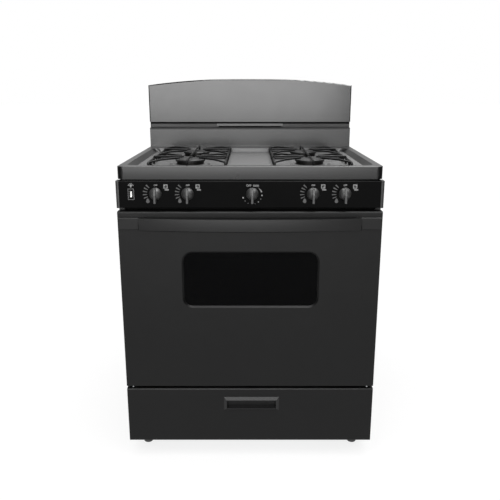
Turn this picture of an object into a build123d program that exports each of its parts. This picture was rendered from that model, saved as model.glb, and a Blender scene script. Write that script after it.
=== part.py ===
from build123d import *
import math
import os

# Freestanding gas range. Millimetres, +X right, +Y back, +Z up, floor at z = 0.
# v is the distance behind the front face of the oven door.

# ---------------------------------------------------------------- driving dimensions
OVERALL_DEPTH = 731.0
HANDLE_OUT = 42.0                       # handle stands in front of the door
YD = -OVERALL_DEPTH / 2 + HANDLE_OUT    # y of the door's front face
V_REAR = OVERALL_DEPTH - HANDLE_OUT     # rear of the range behind the door front
T = 1.2                                 # sheet thickness

DOOR_W, DOOR_Z0, DOOR_Z1 = 757.0, 244.0, 790.0
DOOR_T = 31.0
WIN_X, WIN_W, WIN_Z0, WIN_Z1, WIN_R = 1.8, 402.0, 499.5, 672.5, 32.0
HINGE_V, HINGE_Z, HINGE_X = 14.0, 256.0, 352.0
DRAWER_W, DRAWER_Z0, DRAWER_Z1 = 757.0, 57.0, 236.5
PULL_X, PULL_W, PULL_Z0, PULL_Z1, PULL_RISE, PULL_BEVEL = 4.3, 170.0, 163.0, 207.5, 7.0, 8.0
HANDLE_HALF, HANDLE_TAB, HANDLE_TAB_T, HANDLE_Z0, HANDLE_Z1 = 374.0, 57.0, 8.0, 738.0, 774.0
GRIP_END = 20.0                          # how far the grip's ends stand out, before it bows

PANEL_V, PANEL_Z0, PANEL_Z1, PANEL_HALF = 8.9, 799.0, 875.5, 371.5
OVERALL_HALF = 381.0
KNOB_Z, KNOB_R = 840.0, 17.8
KNOB_X = {"left_rear": -267.5, "left_front": -176.5, "oven": 6.4, "right_front": 178.5, "right_rear": 269.0}
KNOB_PUSH = 3.5
SWITCH_X, SWITCH_Z = -337.2, 838.5

LIP_V, LIP_Z0, RIM_Z, DECK_Z = 28.6, 878.0, 914.4, 902.4
COOKTOP_HALF = 381.0
LIP_BOW = 515.0                          # radius of the lip's slightly bellied front
WELL_W, WELL_V0, WELL_V1, WELL_R = 718.0, 57.0, 571.0, 28.0
BURNER_X, BURNER_VF, BURNER_VR = 185.0, 197.0, 438.0
GRATE_W, GRATE_D, GRATE_TOP, GRATE_R = 233.0, 236.0, 928.0, 3.6

BODY_V = 39.5                            # front face of the oven's front frame
SIDE_OUT = 379.5
GUARD_V, GUARD_HALF = 634.3, 377.0
SKIRT_TOP, FLANGE_TOP, GUARD_BOTTOM, GUARD_CORNER, GUARD_TOP = 985.2, 999.0, 1007.0, 1140.0, 1162.0
LOUVRE_HALF = 124.0

CAV_HALF, CAV_Z0, CAV_Z1, CAV_V1 = 304.0, 300.0, 735.0, 560.0
RACK_Z = (420.0, 537.0)
LEG_X, LEG_VF, LEG_VR = 336.0, 92.0, 620.0


# ---------------------------------------------------------------- helpers
def bx(x0, x1, v0, v1, z0, z1):
    """A box from its limits."""
    return Pos((x0 + x1) / 2, YD + (v0 + v1) / 2, (z0 + z1) / 2) * Box(abs(x1 - x0), abs(v1 - v0), abs(z1 - z0))


def cy(x, z, v0, v1, r):
    """A cylinder that runs front to back."""
    return Pos(x, YD + (v0 + v1) / 2, z) * Rot(90, 0, 0) * Cylinder(r, abs(v1 - v0))


def cz(x, v, z0, z1, r):
    """An upright cylinder."""
    return Pos(x, YD + v, (z0 + z1) / 2) * Cylinder(r, abs(z1 - z0))


def cx(v, z, x0, x1, r):
    """A cylinder that runs left to right."""
    return Pos((x0 + x1) / 2, YD + v, z) * Rot(0, 90, 0) * Cylinder(r, abs(x1 - x0))


def front(v, x=0.0, z=0.0):
    """A sketch plane facing the rear at depth v; extruding goes back. Its y runs down."""
    return Plane(origin=(x, YD + v, z), x_dir=(1, 0, 0), z_dir=(0, 1, 0))


def rr(v0, v1, x0, x1, z0, z1, r, taper=0.0):
    """A plate with rounded corners, from v0 back to v1."""
    return extrude(front(v0, (x0 + x1) / 2, (z0 + z1) / 2) * RectangleRounded(x1 - x0, z1 - z0, r), v1 - v0, taper=taper)


def front_edges(s):
    return s.faces().sort_by(Axis.Y)[0].edges()


def pressed(x0, x1, z0, z1, v0, v1, top, low, side, t=T):
    """A folded sheet front, open at the back: a large radius along the top edge, a smaller one along the bottom, crisp ends."""
    def shell(a, b, c, d, e, f, rt, rl):
        o = bx(a, b, e, f, c, d)
        along = o.edges().filter_by(Axis.X).filter_by(lambda q: abs(q.center().Y - YD - e) < 0.01)
        o = fillet(along.sort_by(Axis.Z)[-1], rt)
        along = o.edges().filter_by(Axis.X).filter_by(lambda q: abs(q.center().Y - YD - e) < 0.01)
        return fillet(along.sort_by(Axis.Z)[0], rl)
    o = shell(x0, x1, z0, z1, v0, v1, top, low)
    ends = o.edges().filter_by(Axis.Z).filter_by(lambda q: abs(q.center().Y - YD - v0) < 0.01)
    o = fillet(ends, side)
    return o - shell(x0 + t, x1 - t, z0 + t, z1 - t, v0 + t, v1 + 1, top - t, low - t)


def profile(x0, x1, *pts):
    """An outline given as (v, z) points, extruded from x0 to x1."""
    ring_pts = list(pts) + [pts[0]]
    return extrude(Plane(origin=(x0, YD, 0), x_dir=(0, 1, 0), z_dir=(1, 0, 0)) * make_face(Polyline(*ring_pts)), x1 - x0)


def rod(pts, r, bend, bore=0.0):
    """A bent round rod or tube through points given as (x, v, z)."""
    p = [(a, YD + b, c) for a, b, c in pts]
    line = FilletPolyline(*p, radius=bend) if len(p) > 2 else Line(*p)
    at = Plane(origin=line @ 0, z_dir=line % 0)
    s = sweep(at * Circle(r), path=line)
    if bore:
        s -= sweep(at * Circle(bore), path=line)
    return s


def ring(xc, vc, z, w, d, r, bend):
    """A level rectangular ring of round rod with bent corners, w and d measured to the rod's middle."""
    loop = (Plane(origin=(xc, YD + vc, z)) * RectangleRounded(w, d, bend)).wire()
    return sweep(Plane(origin=loop @ 0, z_dir=loop % 0) * Circle(r), path=loop)


def save(name, *solids):
    flat = []
    for s in solids:
        flat += list(s.solids())
    for s in flat:
        s.label = name
    shape = flat[0] if len(flat) == 1 else Compound(children=flat)
    shape.label = name
    export_step(shape, "parts/%s.step" % name)
    b = shape.bounding_box()
    print("%-22s %2d solids  x %.1f..%.1f  y %.1f..%.1f  z %.1f..%.1f" % (
        name, len(flat), b.min.X, b.max.X, b.min.Y, b.max.Y, b.min.Z, b.max.Z))


os.makedirs("parts", exist_ok=True)

# ---------------------------------------------------------------- cabinet
for side, s in (("left", -1), ("right", 1)):
    a, b = s * SIDE_OUT, s * (SIDE_OUT - T)
    plate = bx(a, b, BODY_V, V_REAR - 1.6, 50, 872)
    plate += bx(b, s * (SIDE_OUT - 16), BODY_V, BODY_V + T, 50, 872)
    plate += bx(b, s * (SIDE_OUT - 16), V_REAR - 1.6 - T, V_REAR - 1.6, 50, 872)
    plate += bx(b, s * (SIDE_OUT - 12), BODY_V, V_REAR - 1.6, 872 - T, 872)
    for zz in (260.0, 400.0, 540.0, 680.0, 820.0):
        plate -= cy(s * 366.0, zz, V_REAR - 5, V_REAR, 2.1)
    save(side + "_side_panel", plate)

rear = bx(-376, 376, V_REAR - 1.2, V_REAR, 232, 1132)
for zz in (300, 420, 540, 660, 780):
    for xx in (-230, 0, 230):
        if zz == 300 or abs(xx) > 100:
            rear -= bx(xx - 60, xx + 60, V_REAR - 2, V_REAR + 1, zz - 4, zz + 4)
SCREWS_REAR = [(s * 366.0, z) for s in (-1, 1) for z in (260.0, 400.0, 540.0, 680.0, 820.0)]
SCREWS_TOP = [(s * x, 1120.0) for s in (-1, 1) for x in (120.0, 340.0)]
for xx, zz in SCREWS_REAR + SCREWS_TOP:
    rear -= cy(xx, zz, V_REAR - 2, V_REAR + 1, 2.1)
save("rear_panel", rear)

base = None
for s in (-1, 1):
    rail = bx(s * 312, s * 378, 48, 680, 47, 50) + bx(s * 375.5, s * 378, 48, 680, 50, 112)
    base = rail if base is None else base + rail
base += bx(-312, 312, 60, 104, 47, 50) + bx(-312, 312, 101.5, 104, 50, 62)
base += bx(-312, 312, 596, 680, 47, 50) + bx(-375.5, 375.5, 677.5, 680, 50, 100)
for xx in (-LEG_X, LEG_X):
    for vv in (LEG_VF, LEG_VR):
        base += cz(xx, vv, 50, 60, 10)
        base -= cz(xx, vv, 40, 70, 5.0)
save("base_frame", base)

legs = []
for xx in (-LEG_X, LEG_X):
    for vv in (LEG_VF, LEG_VR):
        foot = cz(xx, vv, 0, 10, 14.5)
        foot = chamfer(foot.edges().filter_by(GeomType.CIRCLE), 1.5)
        hexa = extrude(Plane(origin=(xx, YD + vv, 10)) * RegularPolygon(9.5, 6), 7)
        legs.append(foot + hexa + cz(xx, vv, 17, 64, 5.0))
save("levelling_legs", *legs)

# ---------------------------------------------------------------- oven
liner = bx(-362, 362, BODY_V, BODY_V + 1.5, 262, 795) - bx(-CAV_HALF, CAV_HALF, BODY_V - 1, BODY_V + 5, CAV_Z0, CAV_Z1)
cav = bx(-CAV_HALF - 1.5, CAV_HALF + 1.5, BODY_V, CAV_V1 + 1.5, CAV_Z0 - 1.5, CAV_Z1 + 1.5)
cav -= bx(-CAV_HALF, CAV_HALF, BODY_V - 1, CAV_V1, CAV_Z0, CAV_Z1)
liner += cav
liner -= bx(-262, 262, 90, 520, CAV_Z0 - 5, CAV_Z0 + 1)                  # burner opening in the floor
liner -= bx(-50, 50, 480, 530, CAV_Z1 - 1, CAV_Z1 + 5)                   # flue opening in the roof
liner -= cy(-225, 690, CAV_V1 - 2, CAV_V1 + 5, 17.2)                     # lamp opening in the rear wall
LEDGES = (RACK_Z[0] - 65, RACK_Z[0], RACK_Z[0] + 58, RACK_Z[1], RACK_Z[1] + 62)
for zz in LEDGES:
    for s in (-1, 1):
        liner += bx(s * CAV_HALF, s * (CAV_HALF - 13), 70, CAV_V1 - 12, zz - 10.5, zz - 4.4)
for s in (-1, 1):
    liner -= bx(s * (HINGE_X - 8), s * (HINGE_X + 8), BODY_V - 1, BODY_V + 3, 240, 284)
save("oven_liner", liner)

ins = bx(-343, 343, 44, 598, 304, 776) - bx(-CAV_HALF - 2, CAV_HALF + 2, 40, CAV_V1 + 2, 290, CAV_Z1 + 2)
ins -= bx(-54, 54, 474, 536, CAV_Z1, 800)
ins -= cy(-225, 690, CAV_V1, 620, 19)
save("oven_insulation", ins)

floor = bx(-298, 298, 46, 555, CAV_Z0 + 0.3, CAV_Z0 + 1.8)
floor += bx(-298, 298, 46, 47.5, CAV_Z0 + 1.8, CAV_Z0 + 9)
for s in (-1, 1):
    for i in range(6):
        v0 = 110 + i * 66
        floor -= bx(s * 238, s * 250, v0, v0 + 48, CAV_Z0 - 1, CAV_Z0 + 3)
save("oven_floor", floor)

burner = cy(0, 266, 118, 560, 15)
burner = chamfer(burner.edges().filter_by(GeomType.CIRCLE), 2)
burner -= cy(0, 266, 124, 565, 13)
for i in range(9):
    burner -= bx(-20, 20, 150 + i * 40, 153 + i * 40, 268, 272)
burner += bx(-40, 40, 124, 127, 281, 298.2) + bx(-14, 14, 124, 127, 276, 284)
burner -= cy(0, 266, 124, 300, 13)
save("oven_burner", burner)

igniter = bx(24, 42, 300, 360, 258, 272)
igniter = fillet(igniter.edges().filter_by(Axis.Y), 2)
igniter += bx(29, 37, 270, 300, 262, 268) + bx(15.0, 24, 326, 334, 262, 268)
save("oven_igniter", igniter)

bulb = Pos(-225, YD + CAV_V1 - 34, 690) * Sphere(15) + cy(-225, 690, CAV_V1 - 30, CAV_V1 - 8, 10.5)
bulb += cy(-225, 690, CAV_V1 - 8, CAV_V1, 17) + cy(-225, 690, CAV_V1, CAV_V1 + 45, 13)
save("oven_lamp", bulb)

# ---------------------------------------------------------------- cooktop
def plan(half, v0, v1, r_front, r_rear, z):
    f = Plane(origin=(0, YD + (v0 + v1) / 2, z)) * Rectangle(2 * half, v1 - v0)
    vs = f.vertices().sort_by(Axis.Y)
    f = fillet(vs[:2], r_front)
    if r_rear:
        vs = f.vertices().sort_by(Axis.Y)
        f = fillet(vs[-2:], r_rear)
    return f


TOP_V1 = V_REAR - 1.8
slab = extrude(plan(COOKTOP_HALF, LIP_V, TOP_V1, 21, 0, LIP_Z0), RIM_Z - LIP_Z0)
slab = fillet(slab.faces().sort_by(Axis.Z)[-1].edges().filter_by(lambda e: e.center().Y < YD + TOP_V1 - 5), 2.6)
slab &= cx(LIP_V + 0.05 + LIP_BOW, (LIP_Z0 + RIM_Z) / 2, -400, 400, LIP_BOW)


def outline(w, v0, v1, r, z):
    return (Plane(origin=(0, YD + (v0 + v1) / 2, z)) * RectangleRounded(w, v1 - v0, r)).face()


# the well slopes wide at its ends and stands steep at the back
well = loft([outline(WELL_W - 33, WELL_V0 + 4, WELL_V1 - 1.6, WELL_R - 10, DECK_Z), outline(WELL_W, WELL_V0, WELL_V1, WELL_R, RIM_Z)], ruled=True)
well_out = loft([outline(WELL_W - 29.5, WELL_V0 + 2.2, WELL_V1 + 0.2, WELL_R - 8.2, DECK_Z - 1.5),
                 outline(WELL_W + 4, WELL_V0 - 2, WELL_V1 + 2, WELL_R + 2, RIM_Z)], ruled=True)
hollow = extrude(plan(COOKTOP_HALF - 1.6, LIP_V + 1.6, TOP_V1 - 1.6, 19.4, 0, LIP_Z0 - 1), RIM_Z - 1.6 - LIP_Z0 + 1)
hollow = fillet(hollow.faces().sort_by(Axis.Z)[-1].edges().filter_by(lambda e: e.center().Y < YD + TOP_V1 - 9), 1.0)
cooktop = slab - (hollow - well_out) - well
BURNERS = [(sx * BURNER_X, vv) for sx in (-1, 1) for vv in (BURNER_VF, BURNER_VR)]
for xx, vv in BURNERS:
    cooktop -= cz(xx, vv, 890, 912, 30.2)
    cooktop -= cz(xx - 35, vv + 33, 890, 912, 4.1)
    for s in (-1, 1):
        cooktop -= cz(xx + s * 58, vv - 14, 890, 912, 2.1)
cooktop -= bx(-54, 54, 652, V_REAR + 5, LIP_Z0 - 5, RIM_Z + 5)           # notch for the flue behind the skirt
save("cooktop", cooktop)

heads, caps, sparks, tubes = [], [], [], []
for xx, vv in BURNERS:
    h = cz(xx, vv, 884, 902.4, 30) + cz(xx, vv, 902.4, 911, 42)
    h = h - cz(xx, vv, 905, 912, 33)
    for i in range(24):
        a = math.radians(i * 15)
        h -= Pos(xx + 38 * math.cos(a), YD + vv + 38 * math.sin(a), 909.6) * Rot(0, 0, i * 15) * Box(16, 1.8, 3.0)
    h -= cz(xx, vv, 880, 893, 5.2)
    heads.append(h)
    c = cz(xx, vv, 911.2, 917.6, 45.5)
    c = fillet(c.edges().filter_by(GeomType.CIRCLE).sort_by(Axis.Z)[-1], 2.6)
    c += cz(xx, vv, 906, 911.2, 31.5) - cz(xx, vv, 905, 911.2, 28)
    caps.append(c)
    e = cz(xx - 35, vv + 33, 890, 908.5, 4.0) + cz(xx - 35, vv + 33, 908.5, 910.4, 1.0)
    sparks.append(e)
save("burner_heads", *heads)
save("burner_caps", *caps)
save("spark_electrodes", *sparks)

VALVES = {"left_rear": (-BURNER_X, BURNER_VR), "left_front": (-BURNER_X, BURNER_VF),
          "right_front": (BURNER_X, BURNER_VF), "right_rear": (BURNER_X, BURNER_VR)}
MAN_V, MAN_Z, MAN_R = 76.0, KNOB_Z, 10.5
valves = []
for k, (xx, vv) in VALVES.items():
    kx = KNOB_X[k]
    b = bx(kx - 11, kx + 11, 26, 58, KNOB_Z - 13, KNOB_Z + 13)
    b = chamfer(b.edges().filter_by(Axis.Y), 3)
    b += cy(kx, KNOB_Z, 16, 26, 8) + cy(kx, KNOB_Z, 58, 66, 6)
    b += cz(kx, 44, KNOB_Z + 13, KNOB_Z + 20, 5.2)
    b -= cy(kx, KNOB_Z, 10, 40, 4.05)
    b -= cz(kx, 44, KNOB_Z + 16, KNOB_Z + 22, 3.5)
    valves.append(b)
    zt = 871.0
    tubes.append(rod([(kx, 44, KNOB_Z + 16), (kx, 44, zt), (xx, vv, zt), (xx, vv, 893)], 3.5, 9, 2.4))
save("burner_valves", *valves)
save("burner_tubes", *tubes)

pipe = rod([(-300, MAN_V, MAN_Z), (334, MAN_V, MAN_Z), (334, 650, MAN_Z), (334, 650, 215), (250, 650, 215),
            (250, 650, 168)], MAN_R, 28, 8.0)
pipe += cx(MAN_V, MAN_Z, -306, -298, 13)
for k in VALVES:
    pipe -= cy(KNOB_X[k], MAN_Z, 56, MAN_V, 6.0)
pipe -= cy(KNOB_X["oven"], MAN_Z, 56, MAN_V, 6.0)
save("gas_manifold", pipe)

kx = KNOB_X["oven"]
th = bx(kx - 24, kx + 24, 26, 58, KNOB_Z - 26, KNOB_Z + 22)
th = chamfer(th.edges().filter_by(Axis.Y), 4)
th += cy(kx, KNOB_Z, 16, 26, 8) + cy(kx, KNOB_Z, 58, 66, 6)
th -= cy(kx, KNOB_Z, 10, 40, 4.05)
save("oven_thermostat", th)

reg = bx(228, 272, 632, 682, 120, 168)
reg = fillet(reg.edges().filter_by(Axis.Z), 6)
reg += cx(650, 144, 200, 228, 24) + cx(650, 144, 192, 200, 9)
reg += cy(250, 144, 682, 687, 15)
reg -= cy(250, 144, 668, 690, 9.2)
reg -= cz(250, 650, 150, 170, 8.0)
save("pressure_regulator", reg)

# ---------------------------------------------------------------- control panel
panel = bx(-PANEL_HALF, PANEL_HALF, PANEL_V, PANEL_V + 1.5, PANEL_Z0, PANEL_Z1)
panel += bx(-PANEL_HALF, PANEL_HALF, PANEL_V, BODY_V - 2, PANEL_Z1 - 1.5, PANEL_Z1)
panel += bx(-PANEL_HALF, PANEL_HALF, PANEL_V, BODY_V - 2, PANEL_Z0, PANEL_Z0 + 1.5)
panel += bx(-PANEL_HALF, PANEL_HALF, BODY_V - 3.5, BODY_V - 2, PANEL_Z1 - 1.5, PANEL_Z1 + 11)
panel = fillet(panel.edges().filter_by(Axis.X).filter_by(
    lambda e: abs(e.center().Y - (YD + PANEL_V)) < 0.01 and min(abs(e.center().Z - PANEL_Z0), abs(e.center().Z - PANEL_Z1)) < 0.01), 1.4)
for k in KNOB_X:
    panel -= cy(KNOB_X[k], KNOB_Z, PANEL_V - 1, PANEL_V + 3, 5.5)
panel -= bx(SWITCH_X - 6.6, SWITCH_X + 6.6, PANEL_V - 1, PANEL_V + 3, SWITCH_Z - 14, SWITCH_Z + 14)
save("control_panel", panel)

ends = []
for s in (-1, 1):
    e = bx(s * (PANEL_HALF + 0.3), s * OVERALL_HALF, PANEL_V - 1.0, BODY_V - 1, PANEL_Z0 - 0.5, PANEL_Z1 + 0.3)
    far = e.edges().filter_by(lambda q: abs(q.center().Y - (YD + PANEL_V - 1)) < 0.01 and abs(abs(q.center().X) - OVERALL_HALF) < 0.01)
    e = fillet(far, 5)
    e -= bx(s * (PANEL_HALF - 1), s * (OVERALL_HALF - 2.5), PANEL_V + 2, BODY_V, PANEL_Z0 + 2, PANEL_Z1 - 2)
    ends.append(e)
save("panel_end_caps", *ends)

house = rr(PANEL_V - 2.0, PANEL_V, SWITCH_X - 8.5, SWITCH_X + 8.5, SWITCH_Z - 16, SWITCH_Z + 16, 2)
house = chamfer(front_edges(house), 0.8)
house += bx(SWITCH_X - 6.5, SWITCH_X + 6.5, PANEL_V, 34, SWITCH_Z - 13.8, SWITCH_Z + 13.8)
house -= bx(SWITCH_X - 3.7, SWITCH_X + 3.7, PANEL_V - 5, 26, SWITCH_Z - 12.2, SWITCH_Z + 12.2)
house -= cx(PANEL_V + 5, SWITCH_Z, SWITCH_X - 6.2, SWITCH_X + 6.2, 1.25)
save("switch_housing", house)

rk_y, rk_h = PANEL_V + 5, 8.7
poly = Plane(origin=(SWITCH_X - 3.2, YD, 0), x_dir=(0, 1, 0), z_dir=(1, 0, 0)) * make_face(Polyline(
    (rk_y + 4, SWITCH_Z - 7), (rk_y - 7.4, SWITCH_Z - rk_h), (rk_y - 5.6, SWITCH_Z),
    (rk_y - 4.8, SWITCH_Z + rk_h), (rk_y + 4, SWITCH_Z + 7), (rk_y + 4, SWITCH_Z - 7)))
rocker = extrude(poly, 6.4)
rocker += cx(rk_y, SWITCH_Z, SWITCH_X - 6.0, SWITCH_X + 6.0, 1.2)
save("light_rocker", rocker)

# knobs on their valve stems
KB = PANEL_V - 0.6 - KNOB_PUSH           # back of a knob at rest
for k, kx in KNOB_X.items():
    stem = cy(kx, KNOB_Z, 5, 36, 4.0) + cy(kx, KNOB_Z, KB - 11, 5, 3.0)
    stem -= bx(kx - 5, kx + 5, KB - 12, 5, KNOB_Z + 2.0, KNOB_Z + 5)
    save("stem_" + k, stem)
    skirt = cy(kx, KNOB_Z, KB - 3, KB, KNOB_R)
    skirt = fillet(skirt.edges().filter_by(GeomType.CIRCLE).sort_by(Axis.Y)[0], 1.0)
    dome = Pos(kx, YD + KB + 0.8, KNOB_Z) * Sphere(KNOB_R)
    dome &= bx(kx - 25, kx + 25, KB - 30, KB - 2.0, KNOB_Z - 25, KNOB_Z + 25)
    blade = profile(kx - 3.4, kx + 3.4, (KB - 3.5, KNOB_Z - 14), (KB - 8, KNOB_Z - 24), (KB - 24.6, KNOB_Z - 24), (KB - 25, KNOB_Z - 1),
                    (KB - 19, KNOB_Z + 15.6), (KB - 3.5, KNOB_Z + 16.2))
    blade = fillet(blade.edges().filter_by(lambda e: abs(abs(e.center().X - kx) - 3.4) < 0.01 and e.center().Y < YD + KB - 12), 1.2)
    knob = skirt + dome + blade
    bore = cy(kx, KNOB_Z, KB - 11 - KNOB_PUSH - 0.6, KB + 1, 3.05) - bx(
        kx - 5, kx + 5, KB - 25, KB + 2, KNOB_Z + 2.06, KNOB_Z + 5)
    knob -= bore
    knob -= cy(kx, KNOB_Z, KB - 4.5, KB + 1, 4.4)
    save("knob_" + k, knob)

# ---------------------------------------------------------------- backguard
def guard_face(inset=0.0):
    h = GUARD_HALF - inset
    zb, zc, zt = GUARD_BOTTOM + inset, GUARD_CORNER - inset, GUARD_TOP - inset
    mid = 130.0
    zm = zt - 1.0
    c = Line((-h, zb), (h, zb)) + Line((h, zb), (h, zc))
    c += ThreePointArc((h, zc), ((h + mid) / 2, zm - (zm - zc) * 0.355), (mid, zm))
    c += ThreePointArc((mid, zm), (0, zt), (-mid, zm))
    c += ThreePointArc((-mid, zm), (-(h + mid) / 2, zm - (zm - zc) * 0.355), (-h, zc))
    c += Line((-h, zc), (-h, zb))
    return make_face(c)


def upright(v):
    """A sketch plane facing the front at depth v, x right and y up; extruding comes forward."""
    return Plane(origin=(0, YD + v, 0), x_dir=(1, 0, 0), z_dir=(0, -1, 0))


guard = extrude(upright(V_REAR - 1.5) * guard_face(), V_REAR - 1.5 - GUARD_V)
guard = fillet(front_edges(guard).filter_by(lambda e: e.center().Z > GUARD_BOTTOM + 1), 4.0)
gin = extrude(upright(V_REAR + 1) * guard_face(1.6), V_REAR + 1 - GUARD_V - 1.6)
gin = fillet(front_edges(gin), 1.5)
save("backguard", guard - gin)

skirt = bx(-GUARD_HALF, GUARD_HALF, GUARD_V, 654, RIM_Z + 0.3, SKIRT_TOP)
soft = skirt.edges().filter_by(Axis.X).filter_by(lambda e: e.center().Z > SKIRT_TOP - 1 and e.center().Y < YD + 640)
skirt = fillet(soft, 2.0)
skirt -= bx(-GUARD_HALF - 1, GUARD_HALF + 1, GUARD_V + T, 656, RIM_Z - 1, SKIRT_TOP - T)
skirt += profile(-GUARD_HALF, GUARD_HALF, (652.8, SKIRT_TOP - T), (654, SKIRT_TOP - T), (653.4, FLANGE_TOP), (652.2, FLANGE_TOP))
skirt -= bx(-LOUVRE_HALF + 6, LOUVRE_HALF - 6, 650, 656, SKIRT_TOP + 0.3, FLANGE_TOP - 2.5)
for s in (-1, 1):
    skirt += bx(s * GUARD_HALF, s * (GUARD_HALF - T), GUARD_V + T, V_REAR - 1.6, RIM_Z + 0.3, SKIRT_TOP - T)
    skirt += bx(s * GUARD_HALF, s * (GUARD_HALF - T), 652.8, V_REAR - 1.6, SKIRT_TOP - T, GUARD_BOTTOM - 0.3)
save("backguard_skirt", skirt)

blade = bx(-LOUVRE_HALF, LOUVRE_HALF, 637.5, 640, 992, 1000.3)
blade += bx(-LOUVRE_HALF, LOUVRE_HALF, 640, 644, 998.8, 1000.3)
for s in (-1, 1):
    blade += bx(s * LOUVRE_HALF, s * (LOUVRE_HALF - 2), 640, 652.0, 992, 998.8)
save("vent_louvre", blade)

duct = bx(-52, 52, 478, 532, 737, 850) + bx(-52, 52, 478, 684, 806, 850) + bx(-52, 52, 655, 684, 806, 987)
duct += bx(-LOUVRE_HALF, LOUVRE_HALF, 655, 684, 983.8, 998)
duct -= bx(-51, 51, 479, 531, 730, 849)
duct -= bx(-51, 51, 479, 683, 807, 849)
duct -= bx(-51, 51, 656, 683, 807, 990)
duct -= bx(-LOUVRE_HALF + 1, LOUVRE_HALF - 1, 656, 683, 984.8, 997)
duct -= bx(-LOUVRE_HALF + 6, LOUVRE_HALF - 6, 650, 660, SKIRT_TOP + 0.3, FLANGE_TOP - 2.5)
save("flue_duct", duct)

# ---------------------------------------------------------------- drawer and its rails
rails = []
for s in (-1, 1):
    r = bx(s * 338, s * 375.2, 52, 560, 96, 97.5) + bx(s * 373.7, s * 375.2, 52, 560, 97.5, 128)
    rails.append(r)
save("drawer_rails", *rails)

dfront = pressed(-DRAWER_W / 2, DRAWER_W / 2, DRAWER_Z0, DRAWER_Z1, 0, 20, 5.5, 2.4, 1.1)
pw, pz = PULL_W - 2 * PULL_BEVEL, (PULL_Z0 + PULL_BEVEL, PULL_Z1 - PULL_BEVEL)
dfront -= bx(PULL_X - pw / 2 - 0.2, PULL_X + pw / 2 + 0.2, -2, 3, pz[0] - 0.2, pz[1] + 0.2)
save("drawer_front", dfront)

tray = bx(-334, 334, 20.0, 470, 68, 190) - bx(-332.8, 332.8, 21.2, 468.8, 69.2, 191)
for s in (-1, 1):
    tray += bx(s * 334, s * 345, 30, 470, 98, 99.5)
    tray += bx(s * 334, s * 342, 20.0, 470, 188.8, 190)
save("drawer_box", tray)

bevel = math.degrees(math.atan(PULL_BEVEL / PULL_RISE))
zc = (PULL_Z0 + PULL_Z1) / 2
pull = extrude(front(-0.1, PULL_X, zc) * Rectangle(PULL_W, PULL_Z1 - PULL_Z0), -PULL_RISE, taper=bevel)
pull += bx(PULL_X - pw / 2, PULL_X + pw / 2, -0.2, 19.4, pz[0], pz[1])
pull -= profile(PULL_X - pw / 2 + 1.4, PULL_X + pw / 2 - 1.4, (-PULL_RISE - 2, pz[0] + 1.4), (-PULL_RISE - 2, pz[1] - 1.4),
                (17, pz[1] - 1.4), (17, pz[0] + 1.4))
save("drawer_pull", pull)

# ---------------------------------------------------------------- oven door
dp = pressed(-DOOR_W / 2, DOOR_W / 2, DOOR_Z0, DOOR_Z1, 0, 26, 4.5, 2.4, 1.1)
wz = (WIN_Z0 + WIN_Z1) / 2
hole = extrude(front(-0.01, WIN_X, wz) * RectangleRounded(WIN_W, WIN_Z1 - WIN_Z0, WIN_R), 5.01, taper=45)
lip = extrude(front(0.6, WIN_X, wz) * RectangleRounded(WIN_W + 2.2, WIN_Z1 - WIN_Z0 + 2.2, WIN_R + 1.1), 4.4, taper=45)
dp = dp + lip - hole - rr(4, 6, WIN_X - WIN_W / 2 + 5, WIN_X + WIN_W / 2 - 5, WIN_Z0 + 5, WIN_Z1 - 5, WIN_R - 5)
for s in (-1, 1):
    dp -= bx(s * (HINGE_X - 8), s * (HINGE_X + 8), 3, 30, DOOR_Z0 - 3, DOOR_Z0 + 30)
    for zz in (750, 765):
        dp -= cy(s * 340, zz, -1, 3, 2.6)
save("door_panel", dp)

save("door_window", rr(5.2, 9.2, WIN_X - WIN_W / 2 - 18, WIN_X + WIN_W / 2 + 18, WIN_Z0 - 18, WIN_Z1 + 18, 10))

di = bx(-366, 366, DOOR_T - T, DOOR_T, DOOR_Z0 + 10, DOOR_Z1 - 10) + bx(-366, 366, 12, DOOR_T, DOOR_Z0 + 10, DOOR_Z1 - 10)
di -= bx(-366 + T, 366 - T, 11, DOOR_T - T, DOOR_Z0 + 10 + T, DOOR_Z1 - 10 - T)
di -= rr(DOOR_T - 3, DOOR_T + 1, -190, 190, WIN_Z0 + 6, WIN_Z1 - 6, 20)
for s in (-1, 1):
    di -= bx(s * (HINGE_X - 8), s * (HINGE_X + 8), 5, 40, DOOR_Z0 - 3, DOOR_Z0 + 44)
save("door_inner_panel", di)

save("door_inner_glass", rr(DOOR_T - T - 4.2, DOOR_T - T - 0.2, -205, 205, WIN_Z0 - 10, WIN_Z1 + 10, 8))

gk = rr(DOOR_T, BODY_V - 0.4, -320, 320, 289, 749, 14) - rr(DOOR_T - 1, BODY_V + 1, -311, 311, 298, 740, 8)
gk = fillet(gk.faces().sort_by(Axis.Y)[-1].edges(), 2.5)
save("door_gasket", gk)

hf, ht, hd = HANDLE_HALF, HANDLE_HALF - HANDLE_TAB, HANDLE_TAB_T
grip = make_face(
    Line((-hf, -0.1), (-hf, -hd)) + Line((-hf, -hd), (-ht, -hd)) + Line((-ht, -hd), (-ht, -GRIP_END)) +
    ThreePointArc((-ht, -GRIP_END), (0, -HANDLE_OUT), (ht, -GRIP_END)) + Line((ht, -GRIP_END), (ht, -hd)) +
    Line((ht, -hd), (hf, -hd)) + Line((hf, -hd), (hf, -0.1)) + Line((hf, -0.1), (ht - 12, -0.1)) +
    Line((ht - 12, -0.1), (ht - 21, -14)) + ThreePointArc((ht - 21, -14), (0, -26), (-ht + 21, -14)) +
    Line((-ht + 21, -14), (-ht + 12, -0.1)) + Line((-ht + 12, -0.1), (-hf, -0.1)))
knees = [q for q in grip.vertices() if abs(q.Y + GRIP_END) < 0.01]
grip = fillet(knees, 3.4)
handle = extrude(Plane(origin=(0, YD, HANDLE_Z0)) * grip, HANDLE_Z1 - HANDLE_Z0)
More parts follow.
